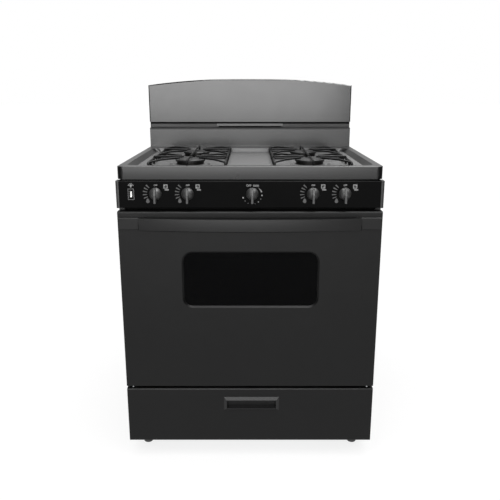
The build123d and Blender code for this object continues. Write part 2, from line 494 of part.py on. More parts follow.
rims = handle.edges().filter_by(lambda e: e.center().Y < YD - hd + 0.5 and abs(abs(e.center().Z - (HANDLE_Z0 + HANDLE_Z1) / 2) - (HANDLE_Z1 - HANDLE_Z0) / 2) < 0.01)
outer = []
for e in rims:
    c = e.center()
    back = -26 + (c.X / (ht - 21)) ** 2 * 12 if abs(c.X) < ht - 25 else 0
    if c.Y - YD < back - 1.5 or abs(c.X) > ht - 6:
        outer.append(e)
handle = fillet(outer, 2.8)
# the grip's face is bellied: it leans back towards the top
bow_c, bow_s = ht, HANDLE_OUT - GRIP_END
bow_r = (bow_c ** 2 + bow_s ** 2) / (2 * bow_s)
belly_z, belly_r = HANDLE_Z0 + 5, 295.0


def belly(z):
    return -HANDLE_OUT + 0.05 + belly_r - math.sqrt(belly_r ** 2 - (z - belly_z) ** 2)


zlo, zhi = HANDLE_Z0 - 3, HANDLE_Z1 + 3
cheek = make_face(ThreePointArc((belly(zlo), zlo), (belly(belly_z), belly_z), (belly(zhi), zhi)) + Line((belly(zhi), zhi), (6, zhi)) +
                  Line((6, zhi), (6, zlo)) + Line((6, zlo), (belly(zlo), zlo)))
spin = Axis((0, YD - HANDLE_OUT + bow_r, 0), (0, 0, 1))
round_face = revolve(Plane(origin=(0, YD, 0), x_dir=(0, 1, 0), z_dir=(1, 0, 0)) * cheek, axis=spin, revolution_arc=22.0)
handle &= round_face.rotate(spin, -11.0)
for s in (-1, 1):
    for zz in (750, 765):
        handle -= cy(s * 340, zz, -6.4, 1, 2.0)
save("door_handle", handle)

hs = []
for s in (-1, 1):
    for zz in (750, 765):
        hs.append(cy(s * 340, zz, -6.2, 1.25, 2.0) + cy(s * 340, zz, 1.25, 4, 4.2))
save("handle_screws", *hs)

ears, brackets, pins = [], [], []
for s in (-1, 1):
    e = None
    for off in (-7.2, 5.4):
        p = bx(s * HINGE_X + off, s * HINGE_X + off + 1.8, 6, DOOR_T - 1.5, DOOR_Z0 + 12, 420)
        e = p if e is None else e + p
    e += bx(s * HINGE_X - 7.2, s * HINGE_X + 7.2, 4.2, 6, 290, 420)
    e += bx(s * (HINGE_X + 5.4), s * (HINGE_X + 7.2), 5, 12, HINGE_Z - 16.4, DOOR_Z0 + 14)
    e += bx(s * (HINGE_X + 5.4), s * (HINGE_X + 9.6), 5, 9, HINGE_Z - 16.4, HINGE_Z - 12.6)
    e -= cx(HINGE_V, HINGE_Z, s * HINGE_X - 10, s * HINGE_X + 10, 4.06)
    ears.append(e)
    arm = bx(s * HINGE_X - 4.5, s * HINGE_X + 4.5, HINGE_V, 140, HINGE_Z - 8, HINGE_Z + 8)
    arm += cx(HINGE_V, HINGE_Z, s * HINGE_X - 4.5, s * HINGE_X + 4.5, 8.0)
    arm += bx(s * HINGE_X - 4.5, s * (SIDE_OUT - T - 0.1), 44, 140, HINGE_Z - 8, HINGE_Z - 5)
    arm -= cx(HINGE_V, HINGE_Z, s * HINGE_X - 10, s * HINGE_X + 10, 4.0)
    brackets.append(arm)
    pins.append(cx(HINGE_V, HINGE_Z, s * HINGE_X - 7.6, s * HINGE_X + 7.6, 4.0))
save("door_hinge_channels", *ears)
save("hinge_brackets", *brackets)
save("hinge_pins", *pins)

# ---------------------------------------------------------------- grates
def grate():
    """A wire grate about its own middle: side rails that stand on the deck at their ends and dip to it in V-shaped feet,
    low bars front and back, a finger on a leg at the middle of each side and a finger from each corner."""
    r = GRATE_R
    w, d = GRATE_W / 2 - r, GRATE_D / 2 - r
    zt = GRATE_TOP - 3.2
    zr = zt - 6.6
    zf = DECK_Z + 0.4
    body = None
    for sx in (-1, 1):
        side = rod([(sx * w, -d, zf), (sx * w, -d, zr), (sx * w, d, zr), (sx * w, d, zf)], r, 9)
        body = side if body is None else body + side
    for sy in (-1, 1):
        body += rod([(-w, sy * d, zf + 3.1), (w, sy * d, zf + 3.1)], 2.7, 0)
    for sx, sy in ((0, -1), (1, 0), (0, 1), (-1, 0)):
        leg = [(sx * w, sy * d, zf), (sx * w, sy * d, zt), (sx * 20, sy * 20, zt)]
        body += rod(leg, 3.2, 6)
    for sx in (-1, 1):
        for sy in (-1, 1):
            body += rod([(sx * w, sy * (d - 12), zr), (sx * (w - 30), sy * (d - 32), zt - 1.2), (sx * 31, sy * 31, zt - 0.6)], 2.9, 20)
            foot = [(sx * w, sy * d * 0.76, zr), (sx * w, sy * d * 0.56, zf + 2.6), (sx * w, sy * d * 0.34, zr)]
            body += rod(foot, 3.1, 5)
    return body


wire = grate()
print("grate", len(wire.solids()), "valid", wire.is_valid, "volume %.0f" % wire.volume)
for name, (xx, vv) in (("left_front", (-BURNER_X, BURNER_VF)), ("left_rear", (-BURNER_X, BURNER_VR)),
                       ("right_front", (BURNER_X, BURNER_VF)), ("right_rear", (BURNER_X, BURNER_VR))):
    save("grate_" + name, Pos(xx, vv, 0) * wire)

# ---------------------------------------------------------------- oven racks
for i, zz in enumerate(RACK_Z):
    w, v0, v1, r = CAV_HALF - 4, 74.0, 530.0, 3.2
    z = zz
    body = ring(0, (v0 + v1) / 2, z, 2 * w, v1 - v0, r, 14)
    for vv in (v0 + 150, v0 + 305):
        body += cx(vv, z, -w, w, r)
    for j in range(-9, 10):
        body += cy(j * 30.0, z + 2.0, v0, v1, 1.8)
    save("oven_rack_%s" % ("lower", "upper")[i], body)

# ---------------------------------------------------------------- supply entry and fasteners
gland = cy(-262, 150, 671, 687, 13) - cy(-262, 150, 665, 690, 5.0)
gland += bx(-300, -224, 674.4, 677.5, 60, 190) - cy(-262, 150, 660, 690, 5.0)
save("cord_gland", gland)

sc = []
for xx, zz in SCREWS_REAR:
    sc.append(cy(xx, zz, V_REAR - 2.6, V_REAR, 2.0))
for xx, vv in BURNERS:
    for s in (-1, 1):
        sc.append(cz(xx + s * 58, vv - 14, 893, DECK_Z, 2.0) + cz(xx + s * 58, vv - 14, DECK_Z, DECK_Z + 1.8, 4.2))
save("body_screws", *sc)
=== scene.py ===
import math

import bmesh
import bpy
from mathutils import Matrix, Vector


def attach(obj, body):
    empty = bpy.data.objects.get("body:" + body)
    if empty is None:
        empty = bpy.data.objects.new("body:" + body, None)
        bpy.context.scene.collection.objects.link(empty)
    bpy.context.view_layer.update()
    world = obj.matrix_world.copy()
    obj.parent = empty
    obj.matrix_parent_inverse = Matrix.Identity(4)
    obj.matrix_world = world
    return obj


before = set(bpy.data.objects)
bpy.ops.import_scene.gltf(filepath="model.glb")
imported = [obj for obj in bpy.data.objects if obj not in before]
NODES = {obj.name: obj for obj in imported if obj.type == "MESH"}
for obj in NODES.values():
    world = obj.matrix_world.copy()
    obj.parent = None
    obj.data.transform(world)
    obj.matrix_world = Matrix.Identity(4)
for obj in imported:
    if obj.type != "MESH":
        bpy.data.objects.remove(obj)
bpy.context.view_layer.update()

scene = bpy.context.scene
scene.view_settings.view_transform = "Standard"
scene.view_settings.look = "None"

# the door's front face, from which the depths below are measured
Y_DOOR = -0.3235
PANEL_Y = Y_DOOR + 0.0089

# ------------------------------------------------------------------ camera
cam_data = bpy.data.cameras.new("camera")
cam_data.sensor_width = 36.0
cam_data.lens = 608.6 / 500.0 * 36.0
cam_data.clip_end = 200.0
cam = bpy.data.objects.new("camera", cam_data)
cam.location = (0.0, Y_DOOR - 1.7002, 1.1289)
cam.rotation_euler = (math.radians(90.0 - 14.882), 0.0, 0.0)
scene.collection.objects.link(cam)
scene.camera = cam


# ------------------------------------------------------------------ material tools
def material(name):
    m = bpy.data.materials.new(name)
    m.use_nodes = True
    return m, m.node_tree, m.node_tree.nodes["Principled BSDF"]


def object_coords(nt, scale=None):
    tc = nt.nodes.new("ShaderNodeTexCoord")
    if scale is None:
        return tc.outputs["Object"]
    mp = nt.nodes.new("ShaderNodeMapping")
    mp.inputs["Scale"].default_value = scale
    nt.links.new(tc.outputs["Object"], mp.inputs["Vector"])
    return mp.outputs["Vector"]


def noise(nt, vec, scale, detail=3.0, rough=0.55, distortion=0.0):
    n = nt.nodes.new("ShaderNodeTexNoise")
    n.inputs["Scale"].default_value = scale
    n.inputs["Detail"].default_value = detail
    n.inputs["Roughness"].default_value = rough
    n.inputs["Distortion"].default_value = distortion
    nt.links.new(vec, n.inputs["Vector"])
    return n.outputs["Fac"]


def voronoi(nt, vec, scale, feature="F1", out="Distance", randomness=1.0):
    n = nt.nodes.new("ShaderNodeTexVoronoi")
    n.feature = feature
    n.inputs["Scale"].default_value = scale
    n.inputs["Randomness"].default_value = randomness
    nt.links.new(vec, n.inputs["Vector"])
    return n.outputs[out]


def ramp(nt, fac, stops, mode="LINEAR"):
    n = nt.nodes.new("ShaderNodeValToRGB")
    n.color_ramp.interpolation = mode
    el = n.color_ramp.elements
    while len(el) > 1:
        el.remove(el[-1])
    el[0].position = stops[0][0]
    el[0].color = (*stops[0][1], 1.0)
    for pos, col in stops[1:]:
        e = el.new(pos)
        e.color = (*col, 1.0)
    nt.links.new(fac, n.inputs["Fac"])
    return n.outputs["Color"]


def spread(nt, fac, lo, hi, a=0.3, b=0.7):
    n = nt.nodes.new("ShaderNodeMapRange")
    n.inputs["From Min"].default_value = a
    n.inputs["From Max"].default_value = b
    n.inputs["To Min"].default_value = lo
    n.inputs["To Max"].default_value = hi
    nt.links.new(fac, n.inputs["Value"])
    return n.outputs["Result"]


def bump(nt, height, strength, distance, before=None):
    n = nt.nodes.new("ShaderNodeBump")
    n.inputs["Strength"].default_value = strength
    n.inputs["Distance"].default_value = distance
    nt.links.new(height, n.inputs["Height"])
    if before is not None:
        nt.links.new(before, n.inputs["Normal"])
    return n.outputs["Normal"]


def grey(v, tint=(1.0, 1.0, 1.0)):
    return tuple(v * t for t in tint)


def enamel(name, lo, hi, r_lo, r_hi, peel=700.0, depth=0.00003, spec=0.5, wave=6.0, ripple=0.0002, tint=(1.0, 1.0, 1.03), sheen=0.0):
    """Sprayed and fired enamel: nearly even colour, cloudy gloss, fine orange peel over a slow ripple."""
    m, nt, b = material(name)
    co = object_coords(nt)
    col = ramp(nt, noise(nt, co, wave, 4.0), [(0.3, grey(lo, tint)), (0.7, grey(hi, tint))])
    nt.links.new(col, b.inputs["Base Color"])
    rough = spread(nt, noise(nt, co, 22.0, 5.0, 0.6), r_lo, r_hi)
    nt.links.new(rough, b.inputs["Roughness"])
    n1 = bump(nt, noise(nt, co, 9.0, 1.0), 0.25, ripple)
    n2 = bump(nt, noise(nt, co, peel, 2.0, 0.5), 0.35, depth, n1)
    nt.links.new(n2, b.inputs["Normal"])
    b.inputs["Specular IOR Level"].default_value = spec
    if sheen:
        b.inputs["Sheen Weight"].default_value = sheen
        b.inputs["Sheen Roughness"].default_value = 0.3
    return m


def dulled(m, where, stops, rough, below=None, painted_sheen=None):
    """Makes an enamel duller in a band of heights, or on faces that look up, as where cleaning has dulled a deck. With
    painted_sheen it also paints a lighter grey base colour on those faces: a painted sheen that stands in for the
    light the black deck catches.
    """
    nt = m.node_tree
    b = nt.nodes["Principled BSDF"]
    before = b.inputs["Roughness"].links[0].from_socket
    tc = nt.nodes.new("ShaderNodeTexCoord")
    pos = nt.nodes.new("ShaderNodeSeparateXYZ")
    nt.links.new(tc.outputs[where], pos.inputs["Vector"])
    mask = ramp(nt, spread(nt, pos.outputs["Z"], 0.0, 1.0, stops[0][0], stops[-1][0]),
                [((z - stops[0][0]) / (stops[-1][0] - stops[0][0]), (d, d, d)) for z, d in stops])
    cloud = noise(nt, tc.outputs["Object"], 90.0, 4.0, 0.6)
    if below is not None:
        place = nt.nodes.new("ShaderNodeSeparateXYZ")
        nt.links.new(tc.outputs["Object"], place.inputs["Vector"])
        low = nt.nodes.new("ShaderNodeMath")
        low.operation = "LESS_THAN"
        nt.links.new(place.outputs["Z"], low.inputs[0])
        low.inputs[1].default_value = below
        both = nt.nodes.new("ShaderNodeMath")
        both.operation = "MULTIPLY"
        nt.links.new(mask, both.inputs[0])
        nt.links.new(low.outputs[0], both.inputs[1])
        mask = both.outputs[0]
    # painted sheen: a lighter grey base colour laid over the enamel wherever the mask is on
    if painted_sheen is not None:
        blend = nt.nodes.new("ShaderNodeMix")
        blend.data_type = "RGBA"
        nt.links.new(mask, blend.inputs[0])
        nt.links.new(b.inputs["Base Color"].links[0].from_socket, blend.inputs[6])
        nt.links.new(ramp(nt, cloud, [(0.3, grey(painted_sheen[0])), (0.7, grey(painted_sheen[1]))]), blend.inputs[7])
        nt.links.new(blend.outputs[2], b.inputs["Base Color"])
    fine = spread(nt, cloud, rough - 0.02, rough + 0.02)
    mix = nt.nodes.new("ShaderNodeMix")
    nt.links.new(mask, mix.inputs["Factor"])
    nt.links.new(before, mix.inputs["A"])
    nt.links.new(fine, mix.inputs["B"])
    nt.links.new(mix.outputs["Result"], b.inputs["Roughness"])
    return m


def brushed(name, lo, hi, r_lo, r_hi, scale=(1.0, 1.0, 1.0), grain=240.0, depth=0.00002, tint=(1.0, 1.0, 1.0)):
    """Rolled or drawn metal: a long fine grain with patchy gloss."""
    m, nt, b = material(name)
    co = object_coords(nt, scale)
    streak = noise(nt, co, grain, 4.0, 0.6)
    col = ramp(nt, streak, [(0.25, grey(lo, tint)), (0.75, grey(hi, tint))])
    nt.links.new(col, b.inputs["Base Color"])
    nt.links.new(spread(nt, streak, r_lo, r_hi), b.inputs["Roughness"])
    nt.links.new(bump(nt, streak, 0.3, depth), b.inputs["Normal"])
    b.inputs["Metallic"].default_value = 1.0
    return m


def galvanised(name):
    """Zinc-coated sheet with a spangle of flat crystals."""
    m, nt, b = material(name)
    co = object_coords(nt)
    cells = voronoi(nt, co, 150.0, "F1", "Color")
    fine = noise(nt, co, 60.0, 5.0, 0.65)
    sep = nt.nodes.new("ShaderNodeSeparateColor")
    nt.links.new(cells, sep.inputs["Color"])
    col = ramp(nt, sep.outputs["Red"], [(0.0, (0.31, 0.32, 0.33)), (0.55, (0.39, 0.40, 0.41)), (1.0, (0.48, 0.49, 0.50))])
    nt.links.new(col, b.inputs["Base Color"])
    nt.links.new(spread(nt, fine, 0.34, 0.52), b.inputs["Roughness"])
    nt.links.new(bump(nt, sep.outputs["Green"], 0.12, 0.00008), b.inputs["Normal"])
    b.inputs["Metallic"].default_value = 0.9
    return m


def half_black_paint_and_shade(name, z_edge):
    """Zinc-coated sheet, sprayed matt black above the height z_edge; the black is partly the sheet's own two-tone
    paint and partly painted shade that darkens what shows through the vent slot.
    """
    m, nt, b = material(name)
    co = object_coords(nt)
    cells = voronoi(nt, co, 150.0, "F1", "Color")
    sep = nt.nodes.new("ShaderNodeSeparateColor")
    nt.links.new(cells, sep.inputs["Color"])
    zinc = ramp(nt, sep.outputs["Red"], [(0.0, (0.31, 0.32, 0.33)), (0.55, (0.39, 0.40, 0.41)), (1.0, (0.48, 0.49, 0.50))])
    # matt black above z_edge: two-tone paint that also serves as painted shade behind the vent slot
    black_paint_and_shade_col = ramp(nt, noise(nt, co, 18.0, 4.0), [(0.3, (0.005, 0.005, 0.005)), (0.7, (0.008, 0.008, 0.008))])
    pos = nt.nodes.new("ShaderNodeSeparateXYZ")
    nt.links.new(co, pos.inputs["Vector"])
    mask = spread(nt, pos.outputs["Z"], 0.0, 1.0, z_edge - 0.002, z_edge + 0.002)
    mix = nt.nodes.new("ShaderNodeMix")
    mix.data_type = "RGBA"
    nt.links.new(mask, mix.inputs["Factor"])
    nt.links.new(zinc, mix.inputs["A"])
    nt.links.new(black_paint_and_shade_col, mix.inputs["B"])
    nt.links.new(mix.outputs["Result"], b.inputs["Base Color"])
    nt.links.new(spread(nt, mask, 0.90, 0.0, 0.0, 1.0), b.inputs["Metallic"])
    fine = noise(nt, co, 60.0, 5.0, 0.65)
    nt.links.new(spread(nt, fine, 0.40, 0.58), b.inputs["Roughness"])
    nt.links.new(bump(nt, sep.outputs["Green"], 0.12, 0.00008), b.inputs["Normal"])
    b.inputs["Specular IOR Level"].default_value = 0.05
    return m


def plastic(name, lo, hi, r_lo, r_hi, grain=1500.0, depth=0.00002, spec=0.5, tint=(1.0, 1.0, 1.0)):
    """Moulded plastic: even colour, a fine spark-eroded texture."""
    m, nt, b = material(name)
    co = object_coords(nt)
    nt.links.new(ramp(nt, noise(nt, co, 40.0, 3.0), [(0.3, grey(lo, tint)), (0.7, grey(hi, tint))]), b.inputs["Base Color"])
    nt.links.new(spread(nt, noise(nt, co, 110.0, 4.0), r_lo, r_hi), b.inputs["Roughness"])
    nt.links.new(bump(nt, noise(nt, co, grain, 2.0), 0.3, depth), b.inputs["Normal"])
    b.inputs["Specular IOR Level"].default_value = spec
    return m


def striped(m, x0, z0, half_w, half_h):
    """Leaves a moulding's pale colour only on an inlaid bar round (x0, z0), and makes the rest black."""
    nt = m.node_tree
    b = nt.nodes["Principled BSDF"]
    co = object_coords(nt)
    pos = nt.nodes.new("ShaderNodeSeparateXYZ")
    nt.links.new(co, pos.inputs["Vector"])
    sides = []
    for axis, mid, half in (("X", x0, half_w), ("Z", z0, half_h)):
        off = nt.nodes.new("ShaderNodeMath")
        off.operation = "SUBTRACT"
        nt.links.new(pos.outputs[axis], off.inputs[0])
        off.inputs[1].default_value = mid
        size = nt.nodes.new("ShaderNodeMath")
        size.operation = "ABSOLUTE"
        nt.links.new(off.outputs[0], size.inputs[0])
        sides.append(spread(nt, size.outputs[0], 0.0, 1.0, half - 0.0001, half + 0.0001))
    out = nt.nodes.new("ShaderNodeMath")
    out.operation = "MAXIMUM"
    nt.links.new(sides[0], out.inputs[0])
    nt.links.new(sides[1], out.inputs[1])
    blend = nt.nodes.new("ShaderNodeMix")
    blend.data_type = "RGBA"
    nt.links.new(out.outputs[0], blend.inputs[0])
    nt.links.new(b.inputs["Base Color"].links[0].from_socket, blend.inputs[6])
    nt.links.new(ramp(nt, noise(nt, co, 60.0, 3.0), [(0.3, grey(0.010)), (0.7, grey(0.014))]), blend.inputs[7])
    nt.links.new(blend.outputs[2], b.inputs["Base Color"])
    return m


def speckled(name, base, speck, r_lo, r_hi, y_edge):
    """Oven enamel: dark, with fine pale flecks, and plain matt black in front of the depth y_edge."""
    m, nt, b = material(name)
    co = object_coords(nt)
    dots = voronoi(nt, co, 420.0)
    fleck = ramp(nt, dots, [(0.0, speck), (0.16, speck), (0.22, base), (1.0, base)])
    cloud = ramp(nt, noise(nt, co, 14.0, 4.0), [(0.3, (0.75, 0.75, 0.75)), (0.7, (1.0, 1.0, 1.0))])
    mix = nt.nodes.new("ShaderNodeMix")
    mix.data_type = "RGBA"
    mix.blend_type = "MULTIPLY"
    mix.inputs["Factor"].default_value = 1.0
    nt.links.new(fleck, mix.inputs["A"])
    nt.links.new(cloud, mix.inputs["B"])
    pos = nt.nodes.new("ShaderNodeSeparateXYZ")
    nt.links.new(co, pos.inputs["Vector"])
    inside = spread(nt, pos.outputs["Y"], 0.0, 1.0, y_edge - 0.001, y_edge + 0.001)
    front = nt.nodes.new("ShaderNodeMix")
    front.data_type = "RGBA"
    nt.links.new(inside, front.inputs["Factor"])
    front.inputs["A"].default_value = (0.0015, 0.0015, 0.0015, 1.0)
    nt.links.new(mix.outputs["Result"], front.inputs["B"])
    nt.links.new(front.outputs["Result"], b.inputs["Base Color"])
    nt.links.new(spread(nt, inside, 0.04, 0.5, 0.0, 1.0), b.inputs["Specular IOR Level"])
    nt.links.new(spread(nt, noise(nt, co, 30.0, 4.0), r_lo, r_hi), b.inputs["Roughness"])
    nt.links.new(bump(nt, noise(nt, co, 650.0, 2.0), 0.3, 0.00003), b.inputs["Normal"])
    return m


def woven(name, lo, hi, scale, depth):
    """Glass-fibre braid or wool."""
    m, nt, b = material(name)
    co = object_coords(nt)
    w1 = nt.nodes.new("ShaderNodeTexWave")
    w1.inputs["Scale"].default_value = scale
    w1.inputs["Distortion"].default_value = 1.5
    w1.inputs["Detail"].default_value = 2.0
    nt.links.new(co, w1.inputs["Vector"])
    fuzz = noise(nt, co, scale * 2.3, 5.0, 0.7)
    nt.links.new(ramp(nt, fuzz, [(0.3, lo), (0.7, hi)]), b.inputs["Base Color"])
    n1 = bump(nt, w1.outputs["Fac"], 0.7, depth)
    nt.links.new(bump(nt, fuzz, 0.6, depth * 0.6, n1), b.inputs["Normal"])
    nt.links.new(spread(nt, fuzz, 0.8, 0.98), b.inputs["Roughness"])
    b.inputs["Specular IOR Level"].default_value = 0.2
    return m


def clear(name, tint_lo, tint_hi, r_lo, r_hi, alpha, spec=0.5):
    """Sheet glass seen as a tinted film over what is behind it."""
    m, nt, b = material(name)
    co = object_coords(nt)
    nt.links.new(ramp(nt, noise(nt, co, 5.0, 2.0), [(0.3, tint_lo), (0.7, tint_hi)]), b.inputs["Base Color"])
    nt.links.new(spread(nt, noise(nt, co, 18.0, 4.0), r_lo, r_hi), b.inputs["Roughness"])
    b.inputs["Alpha"].default_value = alpha
    b.inputs["Specular IOR Level"].default_value = spec
    return m


def paint(objs, m):
    for o in objs:
        o = NODES[o] if isinstance(o, str) else o
        if not o.material_slots:
            o.data.materials.append(m)
        for s in o.material_slots:
            s.material = m


# ------------------------------------------------------------------ materials
M_FRONT = enamel("enamel_front", 0.0022, 0.0028, 0.36, 0.42, spec=0.20)
M_HANDLE = enamel("enamel_handle", 0.0022, 0.0028, 0.34, 0.40, spec=0.25)
# the cooktop's up-facing deck below the rim gets a painted sheen: a lighter grey base colour (0.056 to 0.066) in place
# of the light a black deck reflects
M_TOP = dulled(enamel("enamel_cooktop", 0.0045, 0.006, 0.27, 0.30, peel=620.0, depth=0.000004, spec=0.48, ripple=0.00006), "Normal", ((0.93, 0.0), (0.985, 1.0)), 0.60, below=0.9105, painted_sheen=(0.056, 0.066))
M_GUARD = enamel("enamel_backguard", 0.0040, 0.005, 0.19, 0.215, depth=0.00001, spec=0.5)
M_SKIRT = dulled(enamel("enamel_skirt", 0.0040, 0.005, 0.24, 0.265, depth=0.00001, spec=0.53), "Object", ((0.9775, 0.0), (0.9850, 1.0), (0.9862, 1.0), (0.9876, 0.0)), 0.92)
M_LOUVRE = enamel("enamel_louvre", 0.0040, 0.005, 0.32, 0.35, depth=0.00001, spec=0.64)
M_SIDE = enamel("enamel_sides", 0.006, 0.008, 0.36, 0.48, peel=420.0, depth=0.00008, spec=0.42)
M_PANEL = enamel("panel_gloss_black", 0.0016, 0.0022, 0.10, 0.15, peel=900.0, depth=0.000006, spec=0.06)
M_ENDCAP = plastic("end_cap_plastic", 0.010, 0.014, 0.36, 0.46, spec=0.5)
M_KNOB = plastic("knob_plastic", 0.018, 0.024, 0.42, 0.50, spec=0.62)
M_HOUSE = plastic("switch_plastic", 0.004, 0.006, 0.30, 0.42, spec=0.10)
M_ROCKER = striped(plastic("rocker_white", 0.72, 0.80, 0.25, 0.36, tint=(1.0, 0.99, 0.96)), -0.3372, 0.8385, 0.0022, 0.0080)
M_PULL = enamel("enamel_pull", 0.004, 0.006, 0.30, 0.36, spec=0.36)
M_GRATE = enamel("grate_enamel", 0.0035, 0.006, 0.30, 0.52, peel=380.0, depth=0.00014, spec=0.1, wave=30.0)
M_CAP = enamel("cap_enamel", 0.005, 0.009, 0.34, 0.50, peel=520.0, depth=0.0001, spec=0.3, wave=25.0)
M_ALU = brushed("cast_aluminium", 0.34, 0.52, 0.34, 0.52, grain=520.0, depth=0.00008)
M_HEAD = brushed("burner_head_metal", 0.016, 0.032, 0.42, 0.60, grain=520.0, depth=0.00008, tint=(1.0, 0.97, 0.94))
M_TUBE = brushed("aluminium_tube", 0.55, 0.68, 0.25, 0.38, scale=(1.0, 1.0, 1.0))
M_BRASS = brushed("valve_brass", 0.55, 0.75, 0.25, 0.40, grain=300.0, tint=(1.0, 0.78, 0.42))
M_ZINC = galvanised("galvanised_sheet")
# the rear sheet's black top is partly two-tone paint and partly painted shade, seen through the vent slot
M_REAR = half_black_paint_and_shade("rear_sheet", 0.978)
# near-black steel for the flue duct behind the vent slot, much darker than the other steel parts
M_DARK_FLUE = plastic("dark_flue_steel", 0.010, 0.020, 0.55, 0.75, grain=300.0, depth=0.0001, spec=0.3)
M_STEEL = brushed("burner_steel", 0.30, 0.42, 0.35, 0.5, grain=180.0)
M_STEM = brushed("stem_steel", 0.45, 0.58, 0.24, 0.34, scale=(1.0, 30.0, 1.0))
M_SCREW = brushed("screw_steel", 0.05, 0.09, 0.35, 0.5, grain=700.0)
M_OVEN = speckled("oven_enamel", (0.009, 0.0095, 0.012), (0.055, 0.058, 0.066), 0.28, 0.40, -1.0)
M_LINER = speckled("oven_liner_enamel", (0.009, 0.0095, 0.012), (0.055, 0.058, 0.066), 0.28, 0.40, Y_DOOR + 0.0425)
M_WOOL = woven("glass_wool", (0.55, 0.48, 0.20), (0.78, 0.72, 0.40), 90.0, 0.002)
M_SEAL = woven("glass_fibre_seal", (0.05, 0.05, 0.05), (0.13, 0.13, 0.12), 700.0, 0.0006)
M_CARBIDE = plastic("silicon_carbide", 0.10, 0.16, 0.6, 0.8, grain=800.0, depth=0.0002)
M_CERAMIC = plastic("white_ceramic", 0.70, 0.78, 0.18, 0.28, tint=(1.0, 0.98, 0.94))
M_CHROME = brushed("rack_chrome", 0.55, 0.66, 0.16, 0.28, grain=400.0)
M_WINDOW = clear("window_dark_glass", (0.0012, 0.0012, 0.0014), (0.0018, 0.0018, 0.0020), 0.06, 0.12, 0.88, spec=0.035)
M_INNER = clear("inner_clear_glass", (0.05, 0.06, 0.055), (0.07, 0.08, 0.075), 0.03, 0.08, 0.22, spec=0.3)
M_BULB = clear("lamp_glass", (0.75, 0.74, 0.70), (0.85, 0.84, 0.80), 0.10, 0.2, 0.85)
M_FOOT = brushed("foot_steel", 0.05, 0.09, 0.40, 0.55, grain=300.0)
M_INK = plastic("printed_ink", 0.27, 0.34, 0.5, 0.6, grain=2500.0, depth=0.000005, spec=0.2)
M_INK_DIM = plastic("printed_ink_grey", 0.085, 0.115, 0.5, 0.6, grain=2500.0, depth=0.000005, spec=0.2)
M_FRIT = plastic("ceramic_frit", 0.0025, 0.004, 0.4, 0.5, grain=1800.0, depth=0.00001, spec=0.25)

paint(["door_panel", "drawer_front"], M_FRONT)
paint(["door_handle"], M_HANDLE)
paint(["cooktop"], M_TOP)
paint(["backguard"], M_GUARD)
paint(["vent_louvre"], M_LOUVRE)
paint(["backguard_skirt"], M_SKIRT)
paint(["left_side_panel", "right_side_panel"], M_SIDE)
paint(["control_panel"], M_PANEL)
paint(["panel_end_caps"], M_ENDCAP)
paint([n for n in NODES if n.startswith("knob_")], M_KNOB)
paint([n for n in NODES if n.startswith("stem_")] + ["hinge_pins"], M_STEM)
paint([n for n in NODES if n.startswith("grate_")], M_GRATE)
paint(["switch_housing"], M_HOUSE)
paint(["light_rocker"], M_ROCKER)
paint(["drawer_pull"], M_PULL)
paint(["burner_caps"], M_CAP)
paint(["oven_thermostat", "pressure_regulator"], M_ALU)
paint(["burner_heads"], M_HEAD)
paint(["burner_tubes"], M_TUBE)
paint(["burner_valves"], M_BRASS)
paint(["rear_panel"], M_REAR)
paint(["flue_duct"], M_DARK_FLUE)
paint(["base_frame", "drawer_rails", "hinge_brackets", "door_hinge_channels", "cord_gland", "drawer_box"], M_ZINC)
paint(["oven_burner", "gas_manifold"], M_STEEL)
paint(["body_screws", "handle_screws"], M_SCREW)
paint(["oven_floor", "door_inner_panel"], M_OVEN)
paint(["oven_liner"], M_LINER)
paint(["oven_insulation"], M_WOOL)
paint(["door_gasket"], M_SEAL)
paint(["oven_igniter"], M_CARBIDE)
paint(["spark_electrodes"], M_CERAMIC)
paint([n for n in NODES if n.startswith("oven_rack")], M_CHROME)
paint(["door_window"], M_WINDOW)
paint(["door_inner_glass"], M_INNER)
paint(["oven_lamp"], M_BULB)
paint(["levelling_legs"], M_FOOT)


# ------------------------------------------------------------------ printed marks on the control panel
def link(name, me, m, body):
    o = bpy.data.objects.new(name, me)
    scene.collection.objects.link(o)
    me.materials.append(m)
    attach(o, body)
    return o


def print_marks(name, shapes, m, y=PANEL_Y, thick=0.00016):
    """Flat ink shapes given as outlines in x and z, standing a hair proud of the plane at y and facing the front."""
    bm = bmesh.new()
    for pts in shapes:
        front = [bm.verts.new((px, y - thick, pz)) for px, pz in pts]
        back = [bm.verts.new((px, y, pz)) for px, pz in pts]
        n = len(pts)
        bm.faces.new(front)
        bm.faces.new(list(reversed(back)))
        for i in range(n):
            j = (i + 1) % n
            bm.faces.new((front[i], back[i], back[j], front[j]))
    bmesh.ops.recalc_face_normals(bm, faces=bm.faces)
    me = bpy.data.meshes.new(name)
    bm.to_mesh(me)
    bm.free()
    return me


def disc(cx, cz, r, n=20):
    return [(cx + r * math.cos(2 * math.pi * i / n), cz + r * math.sin(2 * math.pi * i / n)) for i in range(n)]


def bar(cx, cz, w, h, a=0.0):
    c, s = math.cos(a), math.sin(a)
    return [(cx + c * x - s * z, cz + s * x + c * z) for x, z in ((-w / 2, -h / 2), (w / 2, -h / 2), (w / 2, h / 2), (-w / 2, h / 2))]


def radial(cx, cz, ang, r0, r1, w0, w1):
    """A wedge that points at (cx, cz); ang runs anticlockwise from twelve o'clock."""
    dx, dz = -math.sin(ang), math.cos(ang)
    tx, tz = dz, -dx
    return [(cx + dx * r0 + tx * w0 / 2, cz + dz * r0 + tz * w0 / 2), (cx + dx * r1 + tx * w1 / 2, cz + dz * r1 + tz * w1 / 2),
            (cx + dx * r1 - tx * w1 / 2, cz + dz * r1 - tz * w1 / 2), (cx + dx * r0 - tx * w0 / 2, cz + dz * r0 - tz * w0 / 2)]


